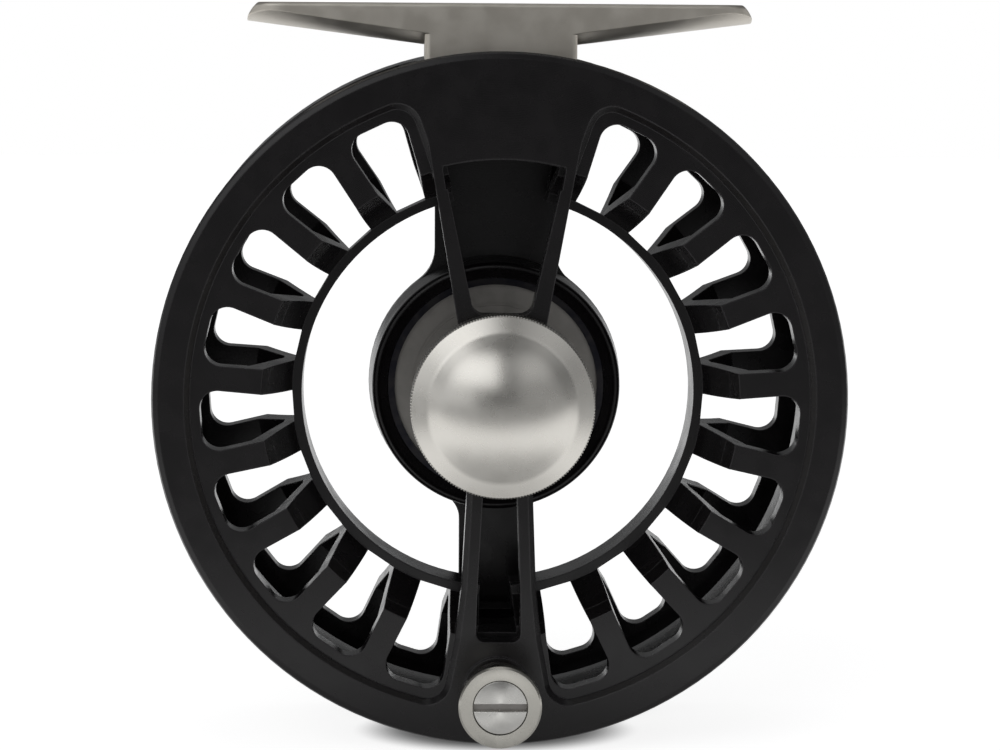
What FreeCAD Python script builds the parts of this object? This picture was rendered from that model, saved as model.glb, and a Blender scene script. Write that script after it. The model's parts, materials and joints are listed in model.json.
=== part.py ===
import FreeCAD, Part
import math
import os

# A large-arbor fly reel.  Millimetres, +Z up, +X right; the spool turns about Y and its handle faces -Y.
# The origin is the middle of the foot's flat top face, which is where a rod's reel seat bears on the reel.

os.makedirs("parts", exist_ok=True)
V = FreeCAD.Vector
ALONG = V(0, 1, 0)

# ---- driving dimensions ----
AXIS_DROP = 52.4          # the spool axis lies this far below the foot's top face
RIM_R = 46.0              # palming rim of the spool
FRONT = -15.0             # plane of the rim's front face

# spool, all depths measured back from FRONT
RECESS = 1.0              # the spoked flange lies this far behind the rim
RECESS_R = 41.0           # foot of the step between rim and flange
STEP_SLOPE = 0.7          # the step is bevelled by this much
SPOOL_TURN = 0.42         # the spool rests turned clockwise by this angle, its handle just off the bottom
KNEE_R = 31.6             # the spokes turn inward here
RING_OUT_R = 28.0         # arbor ring, outer and inner radius
RING_IN_R = 26.7
RING_FRONT = 12.7         # depth of the arbor ring's front and rear edges
RING_REAR = 19.9
FLANGE = 4.0              # depth of the front flange's line side
RIM_DEPTH = 4.8           # depth of the rim's skirt
SKIRT_IN_R = 43.0         # inside of the skirt
REAR_FLANGE = 24.0        # rear flange, front and rear faces
SPOOL_REAR = 27.0
REAR_FLANGE_R = 42.6
REAR_KNEE_R = 32.4
FLOOR_EDGE_R = 33.5       # the line floor is a shallow V between these radii
FLOOR_R = 29.5

# spokes: a 21-part pattern with two places left out at the top and one at the bottom
PITCH = 360.0 / 21
WINDOWS_PER_SIDE = 9
WINDOW_FRONT = ((2.14, 27.9), (3.12, 31.6), (4.4, 39.62))     # half-widths at radii, front face
WINDOW_REAR = ((2.14, 27.9), (2.56, 32.4), (3.82, 40.1))      # and rear face: the sides draw in
WINDOW_CORNER = 2.35
WINDOW_EDGE = 0.3         # rounding of the window edges
EDGE = 0.35               # and of the other machined edges
POCKET_R = 31.8           # the pocket in the top arm reaches out to here
CROWN_R = 32.0

# spool hub
HUB_FACE_R = 10.6
HUB_R = 8.0
HUB_REAR = 3.0
THRUST_BORE_R = 8.0
BEARING_R = 5.0
SHAFT_R = 3.0
RUNNING = 0.04            # radial clearance of a running fit
CIRCLIP_R = 6.2
CIRCLIP_FRONT = -11.4
BEARING_FRONT = -11.0     # front bearing
BEARING_BACK = -7.0
REAR_BEARING = (11.2, 14.4)
BOSS_R = 4.6              # low boss round the handle's screw
BOSS_RISE = 0.6
SLEEVE_HEX = 11.0         # across the flats of the sleeve's drive end
SLEEVE_R = 6.5
SLEEVE_HEX_START = -1.0
SLEEVE_REAR = 14.4
CLUTCH_R = 8.6

# frame
FRAME_IN_R = 43.3
FRAME_FRONT_R = 45.8
FRAME_REAR_R = 46.7
FRAME_FRONT = -9.8
CAGE_FRONT = -6.5
CAGE_REAR = 2.0
BACK_FRONT = 13.0
BACK_REAR = 16.0
TOP_ARM_HALF = 8.5        # half-widths of the arms that carry the drag housing
BOTTOM_ARM_HALF = 4.9
TOP_ARM_FILLET = 5.5
BOTTOM_ARM_FILLET = 4.0
POST_ANGLES = (62.0, 118.0, 180.0, 242.0, 298.0)
POST_HALF_ANGLE = 4.5
BRIDGE_HALF_ANGLE = 14.0

# drag housing
CUP_REAR_R = 17.8
CUP_LIP_R = 16.8
CUP_FRONT = 5.0
CUP_FLOOR = 15.0
CUP_REAR = 17.0
SPIGOT_R = 15.6
COVER_R = 14.6
COVER_FRONT = 7.0
COVER_REAR = 8.4
STACK_R = 13.8
SPINDLE_SEAT_R = 4.0
THREAD_R = 2.5
SNAP_R = 15.1
SEAL_R = 7.4
BOLT_R = 1.25

# click: each place is (x, height above the axis)
PAWL_AT = (-12.0, 0.0)
PAWL_PIN_R = 0.7
SPRING_AT = (-12.0, 3.0)
SPRING_WIRE_R = 0.3
CLICK_FRONT = 8.9
CLICK_REAR = 10.1
GEAR_TEETH = 30
GEAR_ROOT_R = 8.4
GEAR_TIP_R = 9.5

# foot
FOOT_HALF_LENGTH = 34.2
TIP_ROUND = 5.0           # rounding of the wing tips, in plan and over the top
FOOT_HALF_WIDTH = 7.0
PEDESTAL_HALF = 10.15
WING_ROOT = 5.5           # thickness along the middle, at the pedestal and at the tip
WING_TIP = 2.3
WING_EDGE_ROOT = 4.1      # thickness along the front and rear edges
WING_EDGE_TIP = 0.5
FOOT_SCREW_X = 5.0
FOOT_SCREW_Y = -2.25
FOOT_SCREW_HEAD = 43.5    # height of the head's underside above the axis

# handle and knob
HANDLE_H = -38.5
HANDLE_THREAD_R = 1.5
GRIP_BASE_R = 4.2
GRIP_FRONT_R = 5.35
GRIP_BASE = -15.95
GRIP_FRONT = -25.2
GRIP_BORE_R = 2.9
SCREW_HEAD_R = 3.5
SCREW_HEAD = 1.2          # height of the screw's head
SCREW_BODY_R = 1.9
KNOB_R = 12.08
KNOB_REAR = -15.75
KNOB_EDGE = -18.7
KNOB_APEX = -24.6
O_RING_R = 9.6
O_RING_HALF = 0.5         # half the thickness of the ring's cord
O_RING_Y = -16.2


# ---- shape helpers ----
def at(radius, angle):
    """x and height of a point at a clock angle about the spool axis, clockwise from the top."""
    turn = math.radians(angle)
    return radius * math.sin(turn), radius * math.cos(turn)


def disc(radius, y0, y1, x=0.0, h=0.0):
    return Part.makeCylinder(radius, y1 - y0, V(x, y0, h - AXIS_DROP), ALONG)


def ring(outer, inner, y0, y1, x=0.0, h=0.0):
    return disc(outer, y0, y1, x, h).cut(disc(inner, y0 - 1, y1 + 1, x, h))


def turned(profile, x=0.0, h=0.0):
    """Solid of revolution about a line along Y from (radius, y) corners."""
    corners = [V(x + r, y, h - AXIS_DROP) for r, y in profile]
    face = Part.Face(Part.makePolygon(corners + corners[:1]))
    return face.revolve(V(x, 0, h - AXIS_DROP), ALONG, 360)


def rounded_face(corners, y):
    """Flat face in a plane of constant y; each corner is (x, height, rounding radius)."""
    points = [V(x, y, h - AXIS_DROP) for x, h, _ in corners]
    starts = []
    ends = []
    arcs = []
    count = len(points)
    for i, p in enumerate(points):
        before = (points[i - 1] - p).normalize()
        after = (points[(i + 1) % count] - p).normalize()
        radius = corners[i][2]
        if radius <= 0:
            starts.append(p)
            ends.append(p)
            arcs.append(None)
            continue
        half = before.getAngle(after) / 2
        reach = radius / math.tan(half)
        a = p + before * reach
        b = p + after * reach
        inward = (before + after).normalize()
        middle = p + inward * (radius / math.sin(half) - radius)
        starts.append(a)
        ends.append(b)
        arcs.append(Part.Arc(a, middle, b).toShape())
    edges = []
    for i in range(count):
        if arcs[i] is not None:
            edges.append(arcs[i])
        edges.append(Part.LineSegment(ends[i], starts[(i + 1) % count]).toShape())
    return Part.Face(Part.Wire(edges))


def prism(corners, y0, y1):
    return rounded_face(corners, y0).extrude(V(0, y1 - y0, 0))


def mirrored_pairs(half_outline):
    """Corners of an outline that is the same left and right, from its right half listed top to bottom."""
    left = [(-x, h, r) for x, h, r in reversed(half_outline)]
    return list(half_outline) + left


def along_y(edge):
    """Whether an edge is a straight line along Y."""
    a = edge.Vertexes[0].Point
    b = edge.Vertexes[-1].Point
    return abs(a.x - b.x) < 1e-4 and abs(a.z - b.z) < 1e-4 and abs(a.y - b.y) > 1e-3


def reach_of(point):
    """Distance of a point from the spool axis."""
    return math.hypot(point.x, point.z + AXIS_DROP)


def in_plane(edge, y):
    return all(abs(v.Point.y - y) < 1e-4 for v in edge.Vertexes) and abs(edge.CenterOfMass.y - y) < 1e-4


def save(name, shape):
    if not shape.isValid():
        print(name, "is not valid")
    shape.exportStep("parts/" + name + ".step")
    print(name, len(shape.Solids), "solid(s)", round(shape.Volume, 1), "mm3")


def back(depth):
    """y of a depth behind the rim's front face."""
    return FRONT + depth


# ---- spool ----
TOP_ARM = mirrored_pairs([(14.6, 45.0, 0), (9.35, 30.4, 0), (5.95, 11.0, 0), (5.0, 4.0, 0)])
BOTTOM_ARM = mirrored_pairs([
    (4.2, -4.0, 0), (4.4, -12.9, 0), (4.95, -25.0, 0), (5.7, -31.5, 0), (8.3, -45.0, 0)])


V_WINDOW = mirrored_pairs([(8.0, 30.9, 0.8), (3.75, 11.6, 1.8)])         # opening in the top arm
POCKET = mirrored_pairs([(7.8, 32.6, 0), (5.3, 22.0, 0)])                 # behind it, through the arbor
CROWN = mirrored_pairs([(8.05, 32.6, 0), (8.0, 30.4, 0), (7.6, 28.0, 0)])
U_WINDOW = mirrored_pairs([(2.2, -10.4, 0), (2.85, -25.0, 0), (3.0, -32.0, 1.2)])
U_SLOT = mirrored_pairs([(1.8, -24.0, 0), (2.6, -31.4, 0)])


def arms():
    """The two arm outlines as one cutter-sized prism."""
    top = prism(TOP_ARM, FRONT - 2, back(FLANGE))
    bottom = prism(BOTTOM_ARM, FRONT - 2, back(FLANGE))
    return top.fuse(bottom)


def recess_tool():
    """What is milled off the front between the two arms, out to the step under the rim."""
    whole = disc(RECESS_R, FRONT - 1, back(RECESS)).cut(arms())
    upright = [e for e in whole.Edges if along_y(e)]
    corners = [e for e in upright if abs(reach_of(e.Vertexes[0].Point) - RECESS_R) < 0.01]
    return whole.makeFillet(2.6, corners)


def spool_blank():
    """The spool before milling, as turned on a lathe."""
    return turned([
        (RIM_R, back(0.9)), (RIM_R - 0.25, back(0.3)), (RIM_R - 0.9, FRONT), (1.0, FRONT),
        (1.0, back(FLANGE)), (RING_OUT_R + 2.5, back(FLANGE)), (RING_OUT_R, back(RING_FRONT)),
        (RING_IN_R, back(RING_FRONT)), (RING_IN_R, back(RING_REAR)), (RING_OUT_R, back(RING_REAR)),
        (REAR_KNEE_R, back(SPOOL_REAR)), (REAR_FLANGE_R, back(SPOOL_REAR)),
        (REAR_FLANGE_R, back(REAR_FLANGE)),
        (FLOOR_EDGE_R, back(REAR_FLANGE)), (FLOOR_R, back(17.5)), (FLOOR_R, back(15.0)),
        (FLOOR_EDGE_R, back(FLANGE)), (SKIRT_IN_R, back(FLANGE)), (SKIRT_IN_R, back(RIM_DEPTH)),
        (RIM_R - 0.5, back(RIM_DEPTH)), (RIM_R, back(RIM_DEPTH - 0.5)),
    ])


def knee_tool():
    """The cone that the spokes follow inward, open to the front."""
    return turned([
        (1.0, FRONT - 1), (KNEE_R, FRONT - 1), (KNEE_R, back(RECESS)), (RING_OUT_R, back(RING_FRONT)),
        (1.0, back(RING_FRONT)),
    ])


def window_outline(half_widths, angle, y):
    """Closed wire of one window in the plane y, turned to its clock angle."""
    turn = math.radians(angle)
    right = [(half, out, 0) for half, out in half_widths[:-1]]
    right.append((*half_widths[-1], WINDOW_CORNER))
    left = [(-half, out, rounding) for half, out, rounding in reversed(right)]
    corners = []
    for across, out, rounding in right + left:
        x = out * math.sin(turn) + across * math.cos(turn)
        h = out * math.cos(turn) - across * math.sin(turn)
        corners.append((x, h, rounding))
    return rounded_face(corners, y).OuterWire


def window_tool(angle):
    """One through window of the spoke pattern, a little narrower at the back."""
    front = window_outline(WINDOW_FRONT, angle, FRONT - 1)
    rear = window_outline(WINDOW_REAR, angle, back(SPOOL_REAR) + 1)
    return Part.makeLoft([front, rear], True, True)


def window_angles():
    right = [1.5 * PITCH + k * PITCH for k in range(WINDOWS_PER_SIDE)]
    return right + [-a for a in right]


def spool():
    """The milled spool: rim, spoked flanges, arbor ring, two arms and the hub's face."""
    body = spool_blank()
    outside_arms = knee_tool().cut(arms())
    body = body.cut(outside_arms)
    body = body.cut(recess_tool())
    v_window = prism(V_WINDOW, FRONT - 1, back(FLANGE))
    pocket = prism(POCKET, FRONT - 1, back(SPOOL_REAR) + 1)
    v_window = v_window.fuse(pocket.common(disc(POCKET_R, FRONT - 2, back(SPOOL_REAR) + 2)))
    crown = disc(CROWN_R, FRONT - 1, back(FLANGE)).common(prism(CROWN, FRONT - 2, back(FLANGE)))
    u_window = prism(U_WINDOW, FRONT - 1, back(FLANGE)).fuse(prism(U_SLOT, FRONT - 1, back(SPOOL_REAR) + 1))
    for tool in (v_window, crown, u_window):
        body = body.cut(tool)
    return body.cut(Part.makeCompound([window_tool(a) for a in window_angles()]))


def slab(y0, y1):
    """Everything between two planes of constant y."""
    return Part.makeBox(120, y1 - y0, 120, V(-60, y0, -AXIS_DROP - 60))


def hexagon(across_flats, y0, y1):
    reach = across_flats / math.sqrt(3)
    return prism([(*at(reach, 60 * i), 0) for i in range(6)], y0, y1)


def eased(shape, edges, radius):
    """The shape with the given edges rounded, or as it was if they can't be."""
    try:
        soft = shape.makeFillet(radius, edges)
    except Exception:
        return shape
    return soft if soft.isValid() and len(soft.Solids) == 1 else shape


def step_edges(shape):
    """Top edges of the step between rim and flange, round each group of windows."""
    found = []
    for edge in shape.Edges:
        inside_rim = KNEE_R + 1 < reach_of(edge.CenterOfMass) < RECESS_R + 0.3
        if in_plane(edge, FRONT) and inside_rim and abs(edge.CenterOfMass.x) > 5.2:
            found.append(edge)
    return [e for e in found if e.Length > 1.5]


def window_edges(shape):
    """Front edges of the windows: round the flange face, then down the slope of each spoke."""
    found = []
    for edge in shape.Edges:
        if len(edge.Vertexes) < 2:
            continue
        near, far = sorted(reach_of(v.Point) for v in edge.Vertexes)
        front, rear = sorted(v.Point.y for v in edge.Vertexes)
        on_flange = in_plane(edge, back(RECESS)) and near > KNEE_R - 0.1
        on_flange = on_flange and KNEE_R + 0.6 < far < RECESS_R - 0.6
        on_slope = abs(front - back(RECESS)) < 0.3 and rear > back(RING_FRONT) - 2 and far < KNEE_R + 0.6
        if (on_flange and 3 < edge.Length < 5.6) or (on_slope and edge.Length > 9):
            found.append(edge)
    return found


def at_rest(shape):
    """A piece of the spool turned to where the spool rests."""
    turned_piece = shape.copy()
    turned_piece.rotate(V(0, 0, -AXIS_DROP), ALONG, SPOOL_TURN)
    return turned_piece


def spool_hub():
    """Hub with the thrust seat, the front bearing's seat, the clip's groove and the sleeve's socket."""
    hub = disc(HUB_FACE_R, FRONT, back(FLANGE)).fuse(disc(HUB_R, back(FLANGE), HUB_REAR))
    seats = [
        disc(THRUST_BORE_R, FRONT - 1, CIRCLIP_FRONT),
        disc(CIRCLIP_R, CIRCLIP_FRONT - 1, BEARING_FRONT),
        disc(BEARING_R, BEARING_FRONT - 1, BEARING_BACK),
        disc(4.0, BEARING_BACK - 1, HUB_REAR + 1),
        hexagon(SLEEVE_HEX, SLEEVE_HEX_START, HUB_REAR + 1),
    ]
    return hub, seats


def spool_pieces():
    whole = spool()
    whole = whole.makeChamfer(STEP_SLOPE, step_edges(whole))
    whole = eased(whole, window_edges(whole), WINDOW_EDGE)
    face = whole.common(slab(FRONT - 1, back(FLANGE)))
    face = face.fuse(whole.common(slab(back(FLANGE), back(RIM_DEPTH)).common(ring(60, 42, -30, 30))))
    arbor = whole.common(slab(back(FLANGE), back(REAR_FLANGE))).common(disc(38, -30, 30))
    rear = whole.common(slab(back(REAR_FLANGE), 20))
    hub, seats = spool_hub()
    face = face.fuse(hub).fuse(disc(BOSS_R, FRONT - BOSS_RISE, FRONT, 0, HANDLE_H))
    for seat in seats:
        face = face.cut(seat)
    face = face.cut(disc(HANDLE_THREAD_R, FRONT - 2, -11.6, 0, HANDLE_H)).removeSplitter()
    milled = []
    for edge in face.Edges:
        middle = edge.CenterOfMass
        near_handle = math.hypot(middle.x, middle.z + AXIS_DROP - HANDLE_H) < 5
        on_arms = 12 < reach_of(middle) < KNEE_R + 1 and reach_of(edge.Vertexes[0].Point) > 11
        if in_plane(edge, FRONT) and on_arms and not near_handle:
            milled.append(edge)
    save("spool_face", at_rest(eased(face, milled, EDGE)))
    save("spool_arbor", at_rest(arbor))
    save("spool_rear_flange", at_rest(rear))


# ---- what turns with the spool ----
def spool_inner_pieces():
    sleeve = disc(SLEEVE_R, HUB_REAR, SLEEVE_REAR).fuse(hexagon(SLEEVE_HEX, SLEEVE_HEX_START, HUB_REAR))
    sleeve = sleeve.cut(disc(3.6, -2, REAR_BEARING[0]))
    sleeve = sleeve.cut(disc(BEARING_R, REAR_BEARING[0], SLEEVE_REAR + 1))
    save("drag_sleeve", at_rest(sleeve))
    save("front_bearing", bearing(BEARING_FRONT, BEARING_BACK))
    save("rear_bearing", bearing(*REAR_BEARING))
    gap = Part.makeBox(1.6, 2, 4, V(-0.8, CIRCLIP_FRONT - 1, -AXIS_DROP - BEARING_R - 2))
    save("bearing_circlip", ring(CIRCLIP_R, 4.0, CIRCLIP_FRONT, BEARING_FRONT).cut(gap))
    save("one_way_clutch", ring(CLUTCH_R, SLEEVE_R, 11.4, 14.3))
    save("carbon_discs", Part.makeCompound([ring(12.8, CLUTCH_R, y, y + 0.6) for y in (11.7, 13.5)]))
    save("click_gear", click_gear())


def bearing(y0, y1):
    """Shielded ball bearing drawn as one solid: two races with the shields set back between them."""
    bore = SHAFT_R + RUNNING
    inner = bore + 0.56
    outer = BEARING_R - 0.5
    sunk = 0.25
    return turned([
        (bore, y0), (inner, y0), (inner, y0 + sunk), (outer, y0 + sunk), (outer, y0), (BEARING_R, y0),
        (BEARING_R, y1), (outer, y1), (outer, y1 - sunk), (inner, y1 - sunk), (inner, y1), (bore, y1)])


def click_gear():
    step = 360.0 / GEAR_TEETH
    corners = []
    for i in range(GEAR_TEETH):
        corners.append((*at(GEAR_ROOT_R, i * step), 0))
        corners.append((*at(GEAR_TIP_R, (i + 0.35) * step), 0))
        corners.append((*at(GEAR_TIP_R, (i + 0.65) * step), 0))
    return prism(corners, CLICK_FRONT, CLICK_REAR).cut(disc(SLEEVE_R, CLICK_FRONT - 1, CLICK_REAR + 1))


def handle_pieces():
    seat = GRIP_FRONT + 1.5
    recess_r = SCREW_HEAD_R + 0.05
    grip = turned([
        (GRIP_BASE_R - 0.3, GRIP_BASE), (GRIP_BASE_R, GRIP_BASE - 0.3), (GRIP_FRONT_R, GRIP_FRONT + 1.6),
        (GRIP_FRONT_R, GRIP_FRONT + 0.8), (GRIP_FRONT_R - 0.8, GRIP_FRONT), (recess_r, GRIP_FRONT),
        (recess_r, seat), (GRIP_BORE_R, seat), (GRIP_BORE_R, GRIP_BASE)], 0, HANDLE_H)
    save("handle_grip", at_rest(grip))
    save("handle_bush", at_rest(ring(GRIP_BORE_R, SCREW_BODY_R + 0.05, seat, GRIP_BASE, 0, HANDLE_H)))
    under_head = GRIP_FRONT + SCREW_HEAD
    screw = disc(SCREW_HEAD_R, GRIP_FRONT, under_head, 0, HANDLE_H)
    screw = screw.fuse(disc(SCREW_BODY_R, under_head, FRONT - BOSS_RISE, 0, HANDLE_H))
    screw = screw.fuse(disc(HANDLE_THREAD_R, FRONT - BOSS_RISE, -11.6, 0, HANDLE_H))
    slot = Part.makeBox(8, 0.8, 0.95, V(-4, GRIP_FRONT - 0.1, HANDLE_H - AXIS_DROP - 0.475))
    save("handle_screw", at_rest(screw.cut(slot)))


# ---- frame ----
def frame_shell():
    return turned([
        (FRAME_IN_R, FRAME_FRONT), (FRAME_FRONT_R - 0.4, FRAME_FRONT), (FRAME_FRONT_R, FRAME_FRONT + 0.4),
        (FRAME_REAR_R, 11.0), (FRAME_REAR_R, BACK_REAR - 0.9), (FRAME_REAR_R - 0.25, BACK_REAR - 0.3),
        (FRAME_REAR_R - 0.9, BACK_REAR), (FRAME_IN_R, BACK_REAR)])


def cage_tool(start, stop):
    """One cage window between two posts, with rounded corners."""
    turn = math.radians(start)
    corners = [V(r * math.sin(turn), y, r * math.cos(turn) - AXIS_DROP)
               for r, y in ((40, CAGE_FRONT), (52, CAGE_FRONT), (52, CAGE_REAR), (40, CAGE_REAR))]
    face = Part.Face(Part.makePolygon(corners + corners[:1]))
    block = face.revolve(V(0, 0, -AXIS_DROP), ALONG, stop - start)
    radial = [e for e in block.Edges if abs(e.Length - 12) < 1e-3]
    return block.makeFillet(2.5, radial)


def post_edges():
    """Clock angles where each cage window starts and stops."""
    edges = [BRIDGE_HALF_ANGLE]
    for angle in POST_ANGLES:
        edges += [angle - POST_HALF_ANGLE, angle + POST_HALF_ANGLE]
    edges.append(360 - BRIDGE_HALF_ANGLE)
    return zip(edges[0::2], edges[1::2])


def plate_corners(plate, radius):
    """Where the arms of the back plate meet the circle of a given radius."""
    return [e for e in plate.Edges if along_y(e) and abs(reach_of(e.CenterOfMass) - radius) < 0.05]


def frame_pieces():
    shell = frame_shell()
    for start, stop in post_edges():
        shell = shell.cut(cage_tool(start, stop))
    for x in (-FOOT_SCREW_X, FOOT_SCREW_X):
        shell = shell.cut(foot_screw(x, FRAME_IN_R - 3))
    plate = ring(FRAME_REAR_R - 1.5, FRAME_IN_R, BACK_FRONT, BACK_REAR).fuse(
        disc(CUP_REAR_R, BACK_FRONT, BACK_REAR))
    for half, end in ((TOP_ARM_HALF, 44), (BOTTOM_ARM_HALF, -44)):
        outline = mirrored_pairs([(half, end, 0), (half, 0, 0)])
        plate = plate.fuse(prism(outline, BACK_FRONT, BACK_REAR))
    plate = plate.removeSplitter()
    corners = plate_corners(plate, CUP_REAR_R)
    plate = eased(plate, [e for e in corners if e.CenterOfMass.z > -AXIS_DROP], TOP_ARM_FILLET)
    corners = plate_corners(plate, CUP_REAR_R)
    plate = eased(plate, [e for e in corners if e.CenterOfMass.z < -AXIS_DROP], BOTTOM_ARM_FILLET)
    plate = eased(plate, plate_corners(plate, FRAME_IN_R), 3.0)
    plate = plate.cut(disc(SPIGOT_R, BACK_FRONT - 1, BACK_REAR + 1))
    back_part = shell.common(slab(CAGE_REAR, 20)).fuse(plate).removeSplitter()
    save("frame_back", back_part)
    save("frame_front_ring", shell.common(slab(FRAME_FRONT - 1, CAGE_FRONT)))
    save("frame_posts", shell.common(slab(CAGE_FRONT, CAGE_REAR)))


# ---- foot ----
def foot_screw(x, start):
    """Countersunk screw from inside the frame up into the pedestal; its hole begins at the height start."""
    base = V(x, FOOT_SCREW_Y, FOOT_SCREW_HEAD - AXIS_DROP)
    up = V(0, 0, 1)
    cone = Part.makeCone(2.2, 1.25, 1.0, base, up)
    shank = Part.makeCylinder(1.25, 5.6, base, up)
    screw = cone.fuse(shank)
    if start < FOOT_SCREW_HEAD:
        lead = FOOT_SCREW_HEAD - start
        screw = screw.fuse(Part.makeCylinder(2.2, lead, V(x, FOOT_SCREW_Y, start - AXIS_DROP), up))
    return screw


def wing_section(x, middle, edge):
    """Cross-section of a wing at x: flat on top, arched below."""
    a = V(x, -FOOT_HALF_WIDTH, 0)
    b = V(x, FOOT_HALF_WIDTH, 0)
    c = V(x, FOOT_HALF_WIDTH, -edge)
    d = V(x, -FOOT_HALF_WIDTH, -edge)
    arch = Part.Arc(c, V(x, 0, -middle), d).toShape()
    lines = [Part.LineSegment(p, q).toShape() for p, q in ((a, b), (b, c), (d, a))]
    return Part.Wire([lines[0], lines[1], arch, lines[2]])


def foot_pieces():
    root = PEDESTAL_HALF - 1.0
    right = Part.makeLoft([wing_section(root, WING_ROOT, WING_EDGE_ROOT),
                           wing_section(FOOT_HALF_LENGTH, WING_TIP, WING_EDGE_TIP)], True, True)
    left = right.mirror(V(0, 0, 0), V(1, 0, 0))
    width = 2 * FOOT_HALF_WIDTH
    block = Part.makeBox(2 * PEDESTAL_HALF, width, 12, V(-PEDESTAL_HALF, -FOOT_HALF_WIDTH, -12))
    upright = [e for e in block.Edges if abs(e.Length - 12) < 1e-3]
    block = block.makeFillet(0.8, upright)
    slope = (FRAME_REAR_R - FRAME_FRONT_R) / (11.0 - FRAME_FRONT - 0.4)
    envelope = turned([(0.001, -20), (FRAME_FRONT_R - 10 * slope, -20), (FRAME_FRONT_R, FRAME_FRONT + 0.4),
                       (FRAME_REAR_R, 11.0), (0.001, 11.0)])
    foot = right.fuse(left).fuse(block.cut(envelope)).removeSplitter()
    plan = Part.makeBox(2 * FOOT_HALF_LENGTH, width, 14, V(-FOOT_HALF_LENGTH, -FOOT_HALF_WIDTH, -13))
    ends = [e for e in plan.Edges if abs(abs(e.CenterOfMass.x) - FOOT_HALF_LENGTH) < 1e-3
            and e.CenterOfMass.z > -10]
    foot = foot.common(plan.makeFillet(TIP_ROUND, ends))
    top = [e for e in foot.Edges if all(abs(v.Point.z) < 1e-4 for v in e.Vertexes)]
    foot = eased(foot, top, 0.5)
    screws = []
    for x in (-FOOT_SCREW_X, FOOT_SCREW_X):
        screw = foot_screw(x, FOOT_SCREW_HEAD)
        foot = foot.cut(screw)
        base = V(x, FOOT_SCREW_Y, FOOT_SCREW_HEAD - AXIS_DROP - 0.01)
        screws.append(screw.cut(Part.makeCylinder(0.75, 0.7, base, V(0, 0, 1))))
    save("reel_foot", foot)
    save("foot_screws", Part.makeCompound(screws))


# ---- drag housing ----
def housing_pieces():
    housing = turned([
        (CUP_LIP_R - 0.5, CUP_FRONT), (CUP_LIP_R, CUP_FRONT + 0.5), (CUP_REAR_R, BACK_FRONT),
        (SPIGOT_R, BACK_FRONT), (SPIGOT_R, CUP_REAR - 0.5), (SPIGOT_R - 0.5, CUP_REAR),
        (SPINDLE_SEAT_R, CUP_REAR), (SPINDLE_SEAT_R, CUP_FLOOR), (STACK_R, CUP_FLOOR), (STACK_R, COVER_REAR),
        (COVER_R, COVER_REAR), (COVER_R, COVER_FRONT), (SNAP_R, COVER_FRONT), (SNAP_R, COVER_FRONT - 0.8),
        (COVER_R, COVER_FRONT - 0.8), (COVER_R + 0.4, CUP_FRONT)])
    save("drag_housing", housing)
    cover = ring(COVER_R, SEAL_R, COVER_FRONT, COVER_REAR)
    groove = ring(11.6, 11.1, COVER_FRONT - 1, COVER_FRONT + 0.25)
    pin_hole = disc(PAWL_PIN_R, COVER_REAR - 0.8, COVER_REAR + 1, *PAWL_AT)
    spring_hole = disc(SPRING_WIRE_R, COVER_REAR - 0.8, COVER_REAR + 1, *SPRING_AT)
    save("drag_cover", cover.cut(groove).cut(pin_hole).cut(spring_hole))
    snap = ring(SNAP_R, COVER_R - 0.5, COVER_FRONT - 0.8, COVER_FRONT)
    save("cover_snap_ring", snap.cut(Part.makeBox(3, 3, 20, V(-1.5, 5, -AXIS_DROP - 20))))
    save("cover_seal", ring(SEAL_R, SLEEVE_R + RUNNING, COVER_FRONT + 0.1, COVER_REAR - 0.1))
    plates = [ring(STACK_R, 9.0, y, y + 0.5) for y in (10.8, 12.65)]
    save("steel_plates", Part.makeCompound(plates))
    spindle = disc(SPINDLE_SEAT_R, CUP_FLOOR, CUP_REAR).fuse(disc(4.4, 14.7, CUP_FLOOR))
    spindle = spindle.fuse(disc(SHAFT_R, -12.0, 14.7)).fuse(disc(THREAD_R, -21.0, -12.0))
    spindle = spindle.cut(disc(BOLT_R, 9.0, CUP_REAR + 1))
    save("spindle", spindle)
    bolt = disc(BOLT_R, 9.5, CUP_REAR).fuse(disc(3.6, CUP_REAR, CUP_REAR + 1.3))
    bolt = bolt.cut(hexagon(2.5, CUP_REAR + 0.2, CUP_REAR + 2))
    rim = [e for e in bolt.Edges if in_plane(e, CUP_REAR + 1.3) and e.Length > 12]
    save("spindle_bolt", eased(bolt, rim, 0.5))


# ---- click ----
def click_pieces():
    x, h = PAWL_AT
    save("pawl_pin", disc(PAWL_PIN_R, COVER_REAR - 0.8, CLICK_REAR + 0.2, x, h))
    sides = [(x - 0.9, h + 0.9, 0), (x + 2.1, h + 0.25, 0), (x + 2.1, h - 0.25, 0), (x - 0.9, h - 0.9, 0)]
    nose = prism(sides, CLICK_FRONT, CLICK_REAR)
    pawl = disc(1.3, CLICK_FRONT, CLICK_REAR, x, h).fuse(nose)
    save("click_pawl", pawl.cut(disc(PAWL_PIN_R + RUNNING, 8, 11, x, h)).removeSplitter())
    sx, sh = SPRING_AT
    spring = disc(SPRING_WIRE_R, COVER_REAR - 0.8, 9.5, sx, sh).fuse(
        Part.makeCylinder(SPRING_WIRE_R, 1.3, V(sx, 9.5, sh - AXIS_DROP + 0.3), V(0, 0, -1)))
    save("click_spring", spring)


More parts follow.
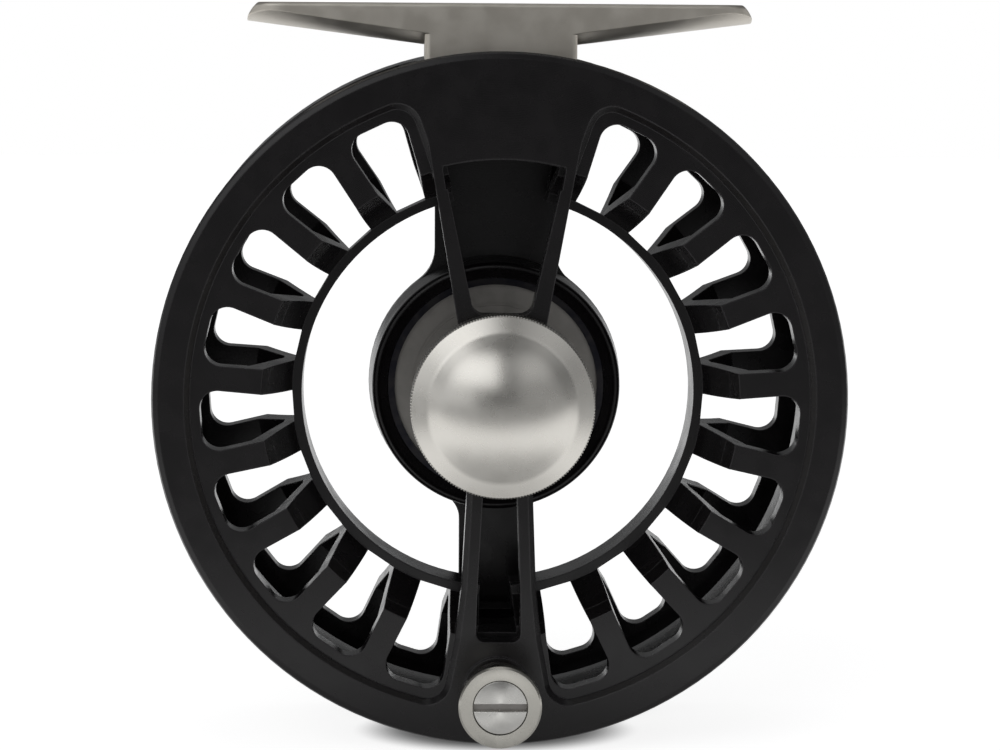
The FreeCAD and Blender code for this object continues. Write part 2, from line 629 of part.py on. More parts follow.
# ---- drag knob ----
def knob_pieces():
    rise = KNOB_EDGE - KNOB_APEX
    dome_r = (KNOB_R ** 2 + rise ** 2) / (2 * rise)
    centre = KNOB_APEX + dome_r
    outline = [(7.4, KNOB_REAR), (KNOB_R - 0.4, KNOB_REAR), (KNOB_R, KNOB_REAR - 0.4), (KNOB_R, KNOB_EDGE)]
    steps = 24
    for i in range(1, steps + 1):
        r = KNOB_R * (1 - i / steps)
        outline.append((max(r, 0.0), centre - math.sqrt(dome_r ** 2 - r ** 2)))
    inner = [(0.0, -21.6), (7.4, -21.6)]
    knob = turned(outline + inner)
    groove = ring(O_RING_R + O_RING_HALF, O_RING_R - O_RING_HALF, O_RING_Y - O_RING_HALF, KNOB_REAR + 1)
    save("drag_knob", knob.cut(groove))
    save("knob_insert", ring(7.4, THREAD_R + RUNNING, -20.6, -15.25))
    save("knob_o_ring", Part.makeTorus(O_RING_R, O_RING_HALF, V(0, O_RING_Y, -AXIS_DROP), ALONG))
    save("thrust_washer", ring(7.6, THREAD_R + RUNNING, -14.9, -14.0))
    cones = [turned([(4.2, y), (7.2, y + 0.5), (7.2, y + 0.9), (4.2, y + 0.4)]) for y in (-14.0, -13.1)]
    save("spring_washers", Part.makeCompound([cones[0], cones[1].mirror(V(0, -12.65, 0), ALONG)]))


spool_pieces()
spool_inner_pieces()
handle_pieces()
frame_pieces()
foot_pieces()
housing_pieces()
click_pieces()
knob_pieces()
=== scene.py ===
# %% [markdown]
# # A fly reel, finished for the camera
# The working parts of this reel come from its CAD model: frame, spool, handle, drag knob and foot, each
# already in its place.  This notebook loads them as a fixed frame and adds what CAD leaves out: the
# camera and the studio, the anodised and blasted finishes, and finely modelled versions of the parts a
# hand touches.  Everything is in metres, +Z up, with the spool's axis along Y and its handle side
# towards -Y.

# %% Load the frame
import json
import math

import bmesh
import bpy
from mathutils import Matrix, Vector

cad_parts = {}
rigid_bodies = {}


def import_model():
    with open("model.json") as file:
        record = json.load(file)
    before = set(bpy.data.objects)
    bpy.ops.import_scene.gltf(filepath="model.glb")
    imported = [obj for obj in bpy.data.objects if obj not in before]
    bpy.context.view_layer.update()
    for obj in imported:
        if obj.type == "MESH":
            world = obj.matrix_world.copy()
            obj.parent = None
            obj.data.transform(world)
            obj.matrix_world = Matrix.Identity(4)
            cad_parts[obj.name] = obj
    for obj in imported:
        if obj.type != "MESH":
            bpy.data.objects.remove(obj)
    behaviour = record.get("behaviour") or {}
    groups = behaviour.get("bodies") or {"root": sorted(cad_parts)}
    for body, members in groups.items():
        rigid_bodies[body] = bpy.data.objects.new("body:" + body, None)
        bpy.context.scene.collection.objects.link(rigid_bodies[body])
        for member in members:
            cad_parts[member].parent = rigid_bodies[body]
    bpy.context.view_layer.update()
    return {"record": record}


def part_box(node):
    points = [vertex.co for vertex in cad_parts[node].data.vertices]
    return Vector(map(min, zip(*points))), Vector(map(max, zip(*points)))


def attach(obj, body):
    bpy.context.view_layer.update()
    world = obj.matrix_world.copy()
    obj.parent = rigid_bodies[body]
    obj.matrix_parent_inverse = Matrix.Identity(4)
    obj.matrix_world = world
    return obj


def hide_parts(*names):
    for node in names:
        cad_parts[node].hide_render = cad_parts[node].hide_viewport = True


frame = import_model()

# %% [markdown]
# ## Where things are
# A reel is round, so nearly every place on it is a radius and an angle about one line: the spool's
# axis.  The joint list holds that line, so it is read from there and never typed in.

# %% The spool axis and the main faces
MM = 0.001
joints = {joint["name"]: joint for joint in frame["record"]["behaviour"]["joints"]}
AXIS_Z = joints["spool_spin"]["pos_m"][2]
HANDLE_Z = joints["handle_spin"]["pos_m"][2]
HANDLE_X = joints["handle_spin"]["pos_m"][0]
frame_low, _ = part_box("frame_back")
print("axis height", AXIS_Z, "handle height", HANDLE_Z)

# %% [markdown]
# ## The camera
# A product shot like this one is taken from a little above the axis and slightly to one side with a
# long lens, so that the wheel stays round and the depth of the spokes still shows.  The lens, place
# and tilt are set as numbers because a camera is aimed on a real set too.

# %% Camera
LENS = 97.2
CAMERA_AT = Vector((-13.2, -367.5, -10.9)) * MM
LOOK = Vector((0.03661, 0.99364, -0.10644))
ROLL = math.radians(0.35)

camera_data = bpy.data.cameras.new("studio_camera")
camera_data.lens = LENS
camera_data.sensor_width = 36.0
camera_data.clip_start = 0.01
camera_data.dof.use_dof = False
camera = bpy.data.objects.new("studio_camera", camera_data)
bpy.context.scene.collection.objects.link(camera)
level = LOOK.to_track_quat("-Z", "Y").to_matrix().to_4x4()
camera.matrix_world = Matrix.Translation(CAMERA_AT) @ level @ Matrix.Rotation(ROLL, 4, "Z")
bpy.context.scene.camera = camera
print("camera", [round(v, 4) for v in camera.location])

# %% [markdown]
# ## The studio
# Black anodising has almost no colour of its own: what the eye reads as its shape is the reflection of
# the room.  A metal knob shows that room like a mirror ball.  So the room is painted by direction: dim
# all round, with a large soft box high on the left, a weaker one on the right, a low one on each side,
# one overhead and a pair behind that light the inner walls of the rim.  Behind the reel the camera
# itself sees plain white, as on a lit sweep.  Painting the room in the world shader gives soft, clean
# reflections and needs no visible lamps.

# %% Small helpers for shader graphs
def math_node(tree, operation, first, second=None, third=None):
    """One Math node; each input is a number or another node's output."""
    node = tree.nodes.new("ShaderNodeMath")
    node.operation = operation
    for socket, value in zip(node.inputs, (first, second, third)):
        if value is None:
            continue
        if isinstance(value, (int, float)):
            socket.default_value = value
        else:
            tree.links.new(value, socket)
    return node.outputs[0]


def ramp(tree, value, start, stop, low=0.0, high=1.0):
    """Smooth change from low to high while value goes from start to stop."""
    node = tree.nodes.new("ShaderNodeMapRange")
    node.interpolation_type = "SMOOTHSTEP"
    tree.links.new(value, node.inputs["Value"])
    for name, number in (("From Min", start), ("From Max", stop), ("To Min", low), ("To Max", high)):
        node.inputs[name].default_value = number
    return node.outputs[0]


# %% Paint the room by direction
world = bpy.data.worlds.new("soft_studio")
bpy.context.scene.world = world
world.use_nodes = True
room = world.node_tree
room_output = next(n for n in room.nodes if n.type == "OUTPUT_WORLD")
painted = next(n for n in room.nodes if n.type == "BACKGROUND")
direction = room.nodes.new("ShaderNodeTexCoord").outputs["Generated"]
parts = room.nodes.new("ShaderNodeSeparateXYZ")
room.links.new(direction, parts.inputs[0])
towards = math_node(room, "MULTIPLY", parts.outputs["Y"], -1.0)
azimuth = math_node(room, "ARCTAN2", parts.outputs["X"], towards)
elevation = math_node(room, "ARCSINE", parts.outputs["Z"])


def softbox(sides, heights, blur, brightness):
    """Glow of a soft box between two azimuths and two elevations, in degrees seen from the reel."""
    glow = brightness
    for value, (low, high) in ((azimuth, sides), (elevation, heights)):
        for edge, way in ((low, 1), (high, -1)):
            start = math.radians(edge - way * blur)
            stop = math.radians(edge + way * blur)
            glow = math_node(room, "MULTIPLY", ramp(room, value, start, stop), glow)
    return glow


FRONT_DIM = 0.12
BACK_BRIGHT = 0.16
BRIGHTEST = 1.35
ROOM_COLOUR = (0.985, 0.99, 1.0, 1.0)
WHITE = (1.0, 1.0, 1.0, 1.0)
behind = ramp(room, parts.outputs["Y"], -0.10, 0.55, FRONT_DIM, BACK_BRIGHT)
SOFTBOXES = [  # azimuths, elevations, blur of the edges, brightness
    ((-62, -3), (18, 51), 9, 1.3),
    ((17, 60), (20, 50), 10, 0.45),
    ((-85, -27), (-24, 15), 10, 0.62),
    ((17, 70), (-24, 15), 9, 0.24),
    ((-180, 180), (74, 110), 6, 0.6),
    ((130, 200), (-40, 2), 5, 0.40),
    ((-200, -130), (-40, 2), 5, 0.40),
]
brightness = behind
for sides, heights, blur, strength in SOFTBOXES:
    brightness = math_node(room, "ADD", brightness, softbox(sides, heights, blur, strength))
brightness = math_node(room, "MINIMUM", brightness, BRIGHTEST)
room.links.new(brightness, painted.inputs["Strength"])
painted.inputs["Color"].default_value = ROOM_COLOUR

# %% White for the camera
plain = room.nodes.new("ShaderNodeBackground")
plain.inputs["Color"].default_value = WHITE
rays = room.nodes.new("ShaderNodeLightPath")
choice = room.nodes.new("ShaderNodeMixShader")
room.links.new(rays.outputs["Is Camera Ray"], choice.inputs[0])
room.links.new(painted.outputs[0], choice.inputs[1])
room.links.new(plain.outputs[0], choice.inputs[2])
room.links.new(choice.outputs[0], room_output.inputs["Surface"])
bpy.context.scene.view_settings.view_transform = "Standard"
print("soft boxes:", len(SOFTBOXES))

# %% [markdown]
# ## The table
# The reel stands on a white table.  A real sweep is lit from below so that it photographs as pure white;
# here the table glows a little, and its glow is painted dimmer right under the reel, with a small painted
# shadow where the rim touches down.  It fades towards the front, so the bright knob doesn't reflect an
# endless floor.

# %% Table
TABLE_SIZE = 3.0
TABLE_GREY = (0.62, 0.62, 0.62, 1.0)
TABLE_Z = frame_low[2] - 0.0004

table_mesh = bpy.data.meshes.new("studio_table")
bm = bmesh.new()
bmesh.ops.create_grid(bm, x_segments=1, y_segments=1, size=TABLE_SIZE)
bmesh.ops.translate(bm, verts=bm.verts, vec=(0, 0, TABLE_Z))
bm.to_mesh(table_mesh)
bm.free()
table = bpy.data.objects.new("studio_table", table_mesh)
bpy.context.scene.collection.objects.link(table)
table_finish = bpy.data.materials.new("studio_table")
table_finish.use_nodes = True
table_tree = table_finish.node_tree
table_shader = table_tree.nodes["Principled BSDF"]
table_shader.inputs["Base Color"].default_value = TABLE_GREY
table_shader.inputs["Roughness"].default_value = 1.0
table_shader.inputs["Specular IOR Level"].default_value = 0.0
table_mesh.materials.append(table_finish)
print("table height", round(TABLE_Z, 4))

# %% Glow of the table
GLOW_END_Y = -0.13          # towards the camera the glow fades about this line
GLOW_FADE = 0.05
GLOW_FAR, GLOW_NEAR = 0.12, 0.85
# Painted shade: nearer the origin than SHADE_END the glow drops towards SHADE.
SHADE_START, SHADE_END = 0.103, 0.128        # distances from the origin; under the reel the table is dimmer
SHADE = 0.3
# Painted contact shadow: inside an ellipse round CONTACT_Y the glow drops to CONTACT_DARK.
CONTACT_Y = -0.001
CONTACT_HALF_X, CONTACT_HALF_Y = 0.0165, 0.0115
CONTACT_DARK = 0.1
CAMERA_WHITE = 0.86

table_point = table_tree.nodes.new("ShaderNodeTexCoord").outputs["Object"]
table_place = table_tree.nodes.new("ShaderNodeSeparateXYZ")
table_tree.links.new(table_point, table_place.inputs[0])
span = table_tree.nodes.new("ShaderNodeVectorMath")
span.operation = "LENGTH"
table_tree.links.new(table_point, span.inputs[0])
fade = ramp(table_tree, table_place.outputs["Y"], GLOW_END_Y - GLOW_FADE, GLOW_END_Y + GLOW_FADE,
            GLOW_FAR, GLOW_NEAR)
# Painted shade under the reel.
shaded = ramp(table_tree, span.outputs["Value"], SHADE_START, SHADE_END, SHADE, 1.0)
table_glow = math_node(table_tree, "MULTIPLY", fade, shaded)

# Painted contact shadow under the rim: an ellipse that darkens the glow.
side = math_node(table_tree, "DIVIDE", table_place.outputs["X"], CONTACT_HALF_X)
deep = math_node(table_tree, "SUBTRACT", table_place.outputs["Y"], CONTACT_Y)
deep = math_node(table_tree, "DIVIDE", deep, CONTACT_HALF_Y)
side = math_node(table_tree, "MULTIPLY", side, side)
deep = math_node(table_tree, "MULTIPLY", deep, deep)
under = ramp(table_tree, math_node(table_tree, "ADD", side, deep), 0.45, 1.5, CONTACT_DARK, 1.0)

seen = table_tree.nodes.new("ShaderNodeLightPath").outputs["Is Camera Ray"]
lift = math_node(table_tree, "SUBTRACT", CAMERA_WHITE, table_glow)
lit = math_node(table_tree, "MULTIPLY_ADD", seen, lift, table_glow)
strength = math_node(table_tree, "MULTIPLY", lit, under)
table_tree.links.new(strength, table_shader.inputs["Emission Strength"])
table_shader.inputs["Emission Color"].default_value = WHITE
print("glow from", GLOW_FAR, "to", GLOW_NEAR)

# %% [markdown]
# ## Finishes
# Each finish is one Principled shader fed by noise in Object coordinates.  The CAD parts sit at the
# origin, so Object coordinates are metres and a noise scale of 4000 means grains of a quarter of a
# millimetre.  Bead blasting is fine bump; turning on a lathe is rings about the axis plus a stretched
# highlight; anodising is a dark colour with a slightly uneven sheen.

# %% A finish with grain
def new_finish(name, roughness, metallic, specular=0.5):
    """Plain start of a finish: material, its tree and its shader."""
    finish = bpy.data.materials.new(name)
    finish.use_nodes = True
    shader = finish.node_tree.nodes["Principled BSDF"]
    shader.inputs["Roughness"].default_value = roughness
    shader.inputs["Metallic"].default_value = metallic
    shader.inputs["Specular IOR Level"].default_value = specular
    return finish, finish.node_tree, shader


def grain(tree, scale, detail=2.0, stretch=(1, 1, 1), centre=(0, 0, 0)):
    """Noise in metres, stretched by stretch about centre."""
    place = tree.nodes.new("ShaderNodeTexCoord").outputs["Object"]
    mapping = tree.nodes.new("ShaderNodeMapping")
    mapping.inputs["Location"].default_value = [-c * s for c, s in zip(centre, stretch)]
    mapping.inputs["Scale"].default_value = stretch
    tree.links.new(place, mapping.inputs["Vector"])
    noise = tree.nodes.new("ShaderNodeTexNoise")
    noise.inputs["Scale"].default_value = scale
    noise.inputs["Detail"].default_value = detail
    tree.links.new(mapping.outputs["Vector"], noise.inputs["Vector"])
    return noise.outputs["Fac"]


def tint(tree, shader, amount, first, second):
    """Colour that drifts between two shades with a noise value."""
    mix = tree.nodes.new("ShaderNodeMix")
    mix.data_type = "RGBA"
    tree.links.new(ramp(tree, amount, 0.3, 0.7), mix.inputs["Factor"])
    mix.inputs["A"].default_value = (*first, 1)
    mix.inputs["B"].default_value = (*second, 1)
    tree.links.new(mix.outputs["Result"], shader.inputs["Base Color"])


def rough_bump(tree, shader, height, distance, strength, edge=0.0):
    """Surface relief from a height value, over edges rounded by edge."""
    bump = tree.nodes.new("ShaderNodeBump")
    bump.inputs["Distance"].default_value = distance
    bump.inputs["Strength"].default_value = strength
    tree.links.new(height, bump.inputs["Height"])
    if edge:
        soften = tree.nodes.new("ShaderNodeBevel")
        soften.samples = 4
        soften.inputs["Radius"].default_value = edge
        tree.links.new(soften.outputs["Normal"], bump.inputs["Normal"])
    tree.links.new(bump.outputs["Normal"], shader.inputs["Normal"])


def painted_edge_highlight(tree, shader, highlight_colour):
    """Painted highlight: lighter colour where the rounded normal leaves the true one, which is along every
    edge.
    """
    rounded = next(n for n in tree.nodes if n.type == "BEVEL").outputs["Normal"]
    compare = tree.nodes.new("ShaderNodeVectorMath")
    compare.operation = "DOT_PRODUCT"
    tree.links.new(rounded, compare.inputs[0])
    tree.links.new(tree.nodes.new("ShaderNodeNewGeometry").outputs["Normal"], compare.inputs[1])
    mix = tree.nodes.new("ShaderNodeMix")
    mix.data_type = "RGBA"
    tree.links.new(ramp(tree, compare.outputs["Value"], 0.985, 0.86), mix.inputs["Factor"])
    tree.links.new(shader.inputs["Base Color"].links[0].from_socket, mix.inputs["A"])
    mix.inputs["B"].default_value = (*highlight_colour, 1)
    tree.links.new(mix.outputs["Result"], shader.inputs["Base Color"])


def lathe_rings(tree, centre, pitch):
    """Height of fine turning marks round a line along Y through centre."""
    place = tree.nodes.new("ShaderNodeTexCoord").outputs["Object"]
    mapping = tree.nodes.new("ShaderNodeMapping")
    mapping.inputs["Location"].default_value = [-c for c in centre]
    tree.links.new(place, mapping.inputs["Vector"])
    parts = tree.nodes.new("ShaderNodeSeparateXYZ")
    tree.links.new(mapping.outputs["Vector"], parts.inputs[0])
    across = math_node(tree, "MULTIPLY", parts.outputs["X"], parts.outputs["X"])
    up = math_node(tree, "MULTIPLY", parts.outputs["Z"], parts.outputs["Z"])
    radius = math_node(tree, "SQRT", math_node(tree, "ADD", across, up))
    travel = math_node(tree, "ADD", radius, parts.outputs["Y"])
    turn = math_node(tree, "MULTIPLY", travel, 2 * math.pi / pitch)
    return math_node(tree, "SINE", turn)


AXIS = (0.0, 0.0, AXIS_Z)
HANDLE_AXIS = (HANDLE_X, 0.0, HANDLE_Z)

# %% [markdown]
# ## Black anodise
# The spool and the frame are machined from bar and anodised black over a light satin blast.  The dye is
# nearly black, but the oxide layer keeps a soft sheen, so the shader is a dark dielectric with medium
# roughness.  Machined corners are never razor sharp: a Bevel node rounds the shading of each edge.  Where
# that rounded normal leaves the true one, along every edge, the colour is lightened as a painted highlight.

# %% Black anodise
black, tree, shader = new_finish("black_anodise", 0.26, 0.0, 0.42)
drift = grain(tree, 260, 3)
tint(tree, shader, drift, (0.0038, 0.0030, 0.0036), (0.0056, 0.0045, 0.0052))
tree.links.new(ramp(tree, drift, 0.25, 0.75, 0.22, 0.30), shader.inputs["Roughness"])
fine = grain(tree, 7000, 2)
faint_rings = math_node(tree, "MULTIPLY", lathe_rings(tree, AXIS, 0.00022), 0.25)
rough_bump(tree, shader, math_node(tree, "ADD", fine, faint_rings), 0.000005, 0.5, edge=0.00026)
print("black anodise nodes:", len(tree.nodes))
# Painted highlight: every edge of the black anodise is lightened towards this grey.
painted_edge_highlight(tree, shader, (0.045, 0.042, 0.045))

# %% [markdown]
# ## Blasted metals
# The foot is a grey titanium colour and the knob is bare aluminium, both bead blasted.  Tiny glass beads
# leave overlapping dimples about a tenth of a millimetre wide: a noise bump at that scale breaks the
# reflection up just enough to look like frosted metal.

# %% Titanium grey and blasted silver
titanium, tree, shader = new_finish("titanium_grey", 0.44, 1.0)
drift = grain(tree, 320, 3)
tint(tree, shader, drift, (0.60, 0.563, 0.50), (0.67, 0.634, 0.57))
tree.links.new(ramp(tree, drift, 0.2, 0.8, 0.38, 0.48), shader.inputs["Roughness"])
rough_bump(tree, shader, grain(tree, 8000, 2), 0.00001, 0.5, edge=0.00022)

silver_blast, tree, shader = new_finish("silver_blast", 0.28, 1.0)
drift = grain(tree, 300, 3)
tint(tree, shader, drift, (0.66, 0.64, 0.595), (0.70, 0.68, 0.635))
tree.links.new(ramp(tree, drift, 0.2, 0.8, 0.25, 0.31), shader.inputs["Roughness"])
rough_bump(tree, shader, grain(tree, 9000, 2), 0.000012, 0.5, edge=0.00008)
print("blasted finishes:", titanium.name, silver_blast.name)

# %% [markdown]
# ## Turned metals
# A face cut on a lathe keeps fine rings.  Light stretches across the rings, so a turned disc shows two
# bright fans that meet in its middle.  The shader's anisotropy with a radial tangent gives the fans, and
# a ring-shaped bump gives the marks that can be seen close up.  The steels differ in the line that they
# were turned about: the screw's is the handle's axis, and the bearings' and spindle's is the spool's.

# %% Turned finishes
def turned_finish(name, colour, roughness, centre, pitch, stretch, depth=0.0000008):
    """Metal turned about the line along Y through centre, with rings pitch apart."""
    finish, tree, shader = new_finish(name, roughness, 1.0)
    drift = grain(tree, 500, 3)
    lighter = tuple(min(1.0, c * 1.08) for c in colour)
    darker = tuple(c * 0.92 for c in colour)
    tint(tree, shader, drift, darker, lighter)
    uneven = ramp(tree, drift, 0.2, 0.8, roughness - 0.04, roughness + 0.05)
    tree.links.new(uneven, shader.inputs["Roughness"])
    shader.inputs["Anisotropic"].default_value = stretch
    tangent = tree.nodes.new("ShaderNodeTangent")
    tangent.direction_type = "RADIAL"
    tangent.axis = "Y"
    tree.links.new(tangent.outputs[0], shader.inputs["Tangent"])
    rings = lathe_rings(tree, centre, pitch)
    height = math_node(tree, "ADD", rings, grain(tree, 5000, 2))
    rough_bump(tree, shader, height, depth, 0.5)
    return finish


silver_turned = turned_finish("silver_turned", (0.54, 0.525, 0.48), 0.27, HANDLE_AXIS, 0.00016, 0.5)
screw_turned = turned_finish("steel_turned", (0.70, 0.69, 0.66), 0.25, HANDLE_AXIS, 0.00012, 0.85)
slot_floor = turned_finish("steel_milled", (0.34, 0.325, 0.31), 0.5, HANDLE_AXIS, 0.0002, 0.2, 0.000003)
steel_turned = turned_finish("steel_turned_axis", (0.50, 0.49, 0.47), 0.28, AXIS, 0.00014, 0.5)
cover_grey = turned_finish("cover_grey", (0.26, 0.25, 0.235), 0.5, AXIS, 0.00025, 0.4)
brass = turned_finish("brass", (0.62, 0.44, 0.18), 0.30, AXIS, 0.0002, 0.3)
print("turned about the handle:", screw_turned.name, "and about the spool:", steel_turned.name)

# %% [markdown]
# ## Small hidden parts
# Springs, washers, seal, carbon discs and the acetal bush are only seen when the reel is taken apart,
# but each still gets the finish of its trade: blued steel, woven carbon, waxy plastic, dull rubber.

# %% Spring steel, carbon, acetal, rubber
spring_steel, tree, shader = new_finish("spring_steel", 0.36, 1.0)
tint(tree, shader, grain(tree, 600, 3), (0.022, 0.022, 0.028), (0.04, 0.038, 0.04))
rough_bump(tree, shader, grain(tree, 7000, 2), 0.000006, 0.5)

carbon, tree, shader = new_finish("carbon", 0.4, 0.0)
across = grain(tree, 2500, 1, (1, 1, 0.12))
along = grain(tree, 2500, 1, (0.12, 1, 1))
weave = math_node(tree, "MULTIPLY", across, along)
tint(tree, shader, weave, (0.012, 0.012, 0.013), (0.05, 0.05, 0.052))
rough_bump(tree, shader, weave, 0.00003, 0.6)

acetal, tree, shader = new_finish("acetal", 0.42, 0.0)
shader.inputs["Subsurface Weight"].default_value = 0.15
shader.inputs["Subsurface Scale"].default_value = 0.0008
tint(tree, shader, grain(tree, 400, 2), (0.72, 0.71, 0.67), (0.78, 0.77, 0.74))
rough_bump(tree, shader, grain(tree, 3000, 2), 0.00001, 0.3)

rubber, tree, shader = new_finish("seal_rubber", 0.62, 0.0)
tint(tree, shader, grain(tree, 800, 3), (0.014, 0.014, 0.014), (0.026, 0.026, 0.026))
rough_bump(tree, shader, grain(tree, 4000, 2), 0.00002, 0.4)

FINISH_OF_SLOT = {
    "black_anodise": black, "titanium_grey": titanium, "silver_blast": silver_blast,
    "silver_turned": silver_turned, "cover_grey": cover_grey, "steel_turned": steel_turned,
    "spring_steel": spring_steel, "brass": brass, "carbon": carbon, "acetal": acetal,
    "seal_rubber": rubber,
}
print("finishes:", len(FINISH_OF_SLOT))

# %% Put the finishes on the CAD parts
slots = {part["node"]: part["material_slot"] for part in frame["record"]["subparts"]}
for node, slot in slots.items():
    for obj in bpy.data.objects:
        if obj.type == "MESH" and obj.name.split(".")[0] == node:
            obj.data.materials.clear()
            obj.data.materials.append(FINISH_OF_SLOT[slot])
print("parts finished:", len(slots))

# %% [markdown]
# ## Turning a part
# Most parts of a reel are turned, so one helper does what a lathe does: it spins a profile of
# (radius, y) corners about a line along Y.  Each corner may carry a rounding, because light catches on
# rounded corners; the helper puts a short arc there before it spins.

# %% Profile with rounded corners
def eased_profile(corners, steps=4):
    """Points of an open profile; each corner is (radius, y) or (radius, y, rounding), in millimetres."""
    points = [Vector((c[0], c[1])) for c in corners]
    path = []
    for i, corner in enumerate(corners):
        rounding = corner[2] if len(corner) > 2 else 0.0
        if not rounding or i in (0, len(corners) - 1):
            path.append(points[i])
            continue
        before = (points[i - 1] - points[i]).normalized()
        after = (points[i + 1] - points[i]).normalized()
        half = before.angle(after) / 2
        reach = rounding / math.tan(half)
        middle = points[i] + (before + after).normalized() * (rounding / math.sin(half))
        start = points[i] + before * reach - middle
        stop = points[i] + after * reach - middle
        for k in range(steps + 1):
            blend = start.lerp(stop, k / steps)
            path.append(middle + blend.normalized() * rounding)
    return path


# %% Spin it
def turned_piece(name, corners, centre, segments=128, closed=False):
    """A piece turned about the line along Y through centre; its profile is in millimetres."""
    path = eased_profile(corners)
    bm = bmesh.new()
    verts = [bm.verts.new((centre[0] + p.x * MM, p.y * MM, centre[2])) for p in path]
    edges = [bm.edges.new(pair) for pair in zip(verts, verts[1:])]
    if closed:
        edges.append(bm.edges.new((verts[-1], verts[0])))
    bmesh.ops.spin(bm, geom=verts + edges, cent=centre, axis=(0, 1, 0), angle=2 * math.pi,
                   steps=segments, use_merge=True)
    bmesh.ops.remove_doubles(bm, verts=bm.verts, dist=0.000002)
    bmesh.ops.recalc_face_normals(bm, faces=bm.faces)
    return as_piece(name, bm)


def as_piece(name, bm):
    """Turn a bmesh into a smooth-shaded object that keeps its sharp corners sharp."""
    for face in bm.faces:
        face.smooth = True
    for edge in bm.edges:
        if len(edge.link_faces) == 2 and edge.calc_face_angle(0) > math.radians(32):
            edge.smooth = False
    mesh = bpy.data.meshes.new(name)
    bm.to_mesh(mesh)
    bm.free()
    piece = bpy.data.objects.new(name, mesh)
    bpy.context.scene.collection.objects.link(piece)
    print(name, len(mesh.polygons), "faces")
    return piece


def fit_piece(piece, body, finish, slot, *nodes):
    """Dress a piece, hang it on its body and let it stand for its CAD nodes."""
    piece.data.materials.append(finish)
    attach(piece, body)
    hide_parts(*nodes)


# %% [markdown]
# ## Drag knob
# The knob sets the drag.  It is a blasted aluminium cap: a serrated grip round its rim, a flat sloping
# shoulder, a soft crease and a low dome.  It could be a sphere cut flat, but the shoulder and crease are
# what catch the light, so its profile is turned and the serrations are pressed into its rim afterwards.

# %% Knob profile
knob_low, knob_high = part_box("drag_knob")
KNOB_FRONT = knob_low[1] / MM
KNOB_BACK = knob_high[1] / MM
KNOB_R = (knob_high[0] - knob_low[0]) / 2 / MM
KNOB_BORE_R = 7.45
KNOB_WALL = 3.0
GRIP_WIDTH = 4.3
GRIP_FRONT_Y = KNOB_BACK - GRIP_WIDTH
CREASE_R = 9.6
CREASE_Y = GRIP_FRONT_Y - 1.05
TEETH = 190
STEPS_PER_TOOTH = 3
TOOTH_DEPTH = 0.2


def dome(start_r, start_y, apex_y, steps=18):
    """Arc from a start point to the apex on the axis, level at the apex."""
    rise = start_y - apex_y
    sphere = (start_r ** 2 + rise ** 2) / (2 * rise)
    arc = []
    for i in range(1, steps + 1):
        r = start_r * (1 - i / steps)
        arc.append((r, apex_y + sphere - math.sqrt(sphere ** 2 - r ** 2)))
    return arc


profile = [(KNOB_BORE_R, KNOB_BACK), (KNOB_R - 0.5, KNOB_BACK, 0.2), (KNOB_R, KNOB_BACK - 0.45, 0.2)]
profile += [(KNOB_R, y) for y in (KNOB_BACK - 1.2, KNOB_BACK - 2.2, GRIP_FRONT_Y)]
profile += [(KNOB_R - 0.2, GRIP_FRONT_Y - 0.2, 0.15), (CREASE_R + 0.2, CREASE_Y + 0.05, 3.0)]
profile += dome(CREASE_R - 0.5, CREASE_Y - 0.42, KNOB_FRONT)
inside = [(0.0, KNOB_FRONT + KNOB_WALL), (KNOB_BORE_R, KNOB_FRONT + KNOB_WALL)]
knob = turned_piece("knob_cap", profile + inside, AXIS, segments=TEETH * STEPS_PER_TOOTH, closed=True)

# %% Press the serrations
pitch = 2 * math.pi / TEETH
for vertex in knob.data.vertices:
    x = vertex.co.x
    up = vertex.co.z - AXIS_Z
    r = math.hypot(x, up)
    if r > (KNOB_R - TOOTH_DEPTH) * MM:
        angle = math.atan2(x, up)
        cut = 0.5 - 0.5 * math.cos(angle / pitch * 2 * math.pi)
        scale = (r - TOOTH_DEPTH * MM * cut) / r
        vertex.co.x = x * scale
        vertex.co.z = AXIS_Z + up * scale
fit_piece(knob, "knob", silver_blast, "silver_blast", "drag_knob")
print("serrations:", TEETH)

# %% [markdown]
# ## Handle
# The handle is a small tapered grip that spins on a screw, so the fingers never have to slide on it.
# Its face is a bright turned ring with a rounded rim, and the screw's slotted head sits just inside.
# Both are turned; the slot is left open between two half-round lands raised on the head.

# %% Grip
grip_low, grip_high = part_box("handle_grip")
GRIP_FACE = grip_low[1] / MM
GRIP_BASE = grip_high[1] / MM
GRIP_BORE_R = 2.95
RECESS_R = 3.56
RECESS_FLOOR = GRIP_FACE + 1.5
grip = turned_piece("handle_grip_shell", [
    (GRIP_BORE_R, GRIP_BASE), (3.95, GRIP_BASE, 0.2), (4.25, GRIP_BASE - 0.5, 0.3),
    (4.32, GRIP_BASE - 2.2, 1.5),
    (4.9, GRIP_FACE + 4.4, 2.5), (5.4, GRIP_FACE + 2.0, 0.5), (5.42, GRIP_FACE + 0.32, 0.08),
    (5.16, GRIP_FACE, 0.08), (3.6, GRIP_FACE, 0.06), (RECESS_R, GRIP_FACE + 0.3),
    (RECESS_R, RECESS_FLOOR), (GRIP_BORE_R, RECESS_FLOOR)], HANDLE_AXIS, segments=160, closed=True)
fit_piece(grip, "handle", silver_turned, "silver_turned", "handle_grip")


# %% Slotted screw
def half_land(bm, radius, gap, y_top, y_foot, side, steps=40):
    """One half-round land of a slotted head, as a prism along Y."""
    start = math.asin(gap / radius)
    corners = []
    for k in range(steps + 1):
        angle = start + (math.pi - 2 * start) * k / steps
        corners.append(bm.verts.new((HANDLE_X + radius * MM * math.cos(angle), y_foot * MM,
                                     HANDLE_Z + side * radius * MM * math.sin(angle))))
    face = bm.faces.new(corners)
    grown = bmesh.ops.extrude_face_region(bm, geom=[face])
    top = [v for v in grown["geom"] if isinstance(v, bmesh.types.BMVert)]
    bmesh.ops.translate(bm, verts=top, vec=(0, (y_top - y_foot) * MM, 0))
    return [e for e in bm.edges if all(v in top for v in e.verts)]


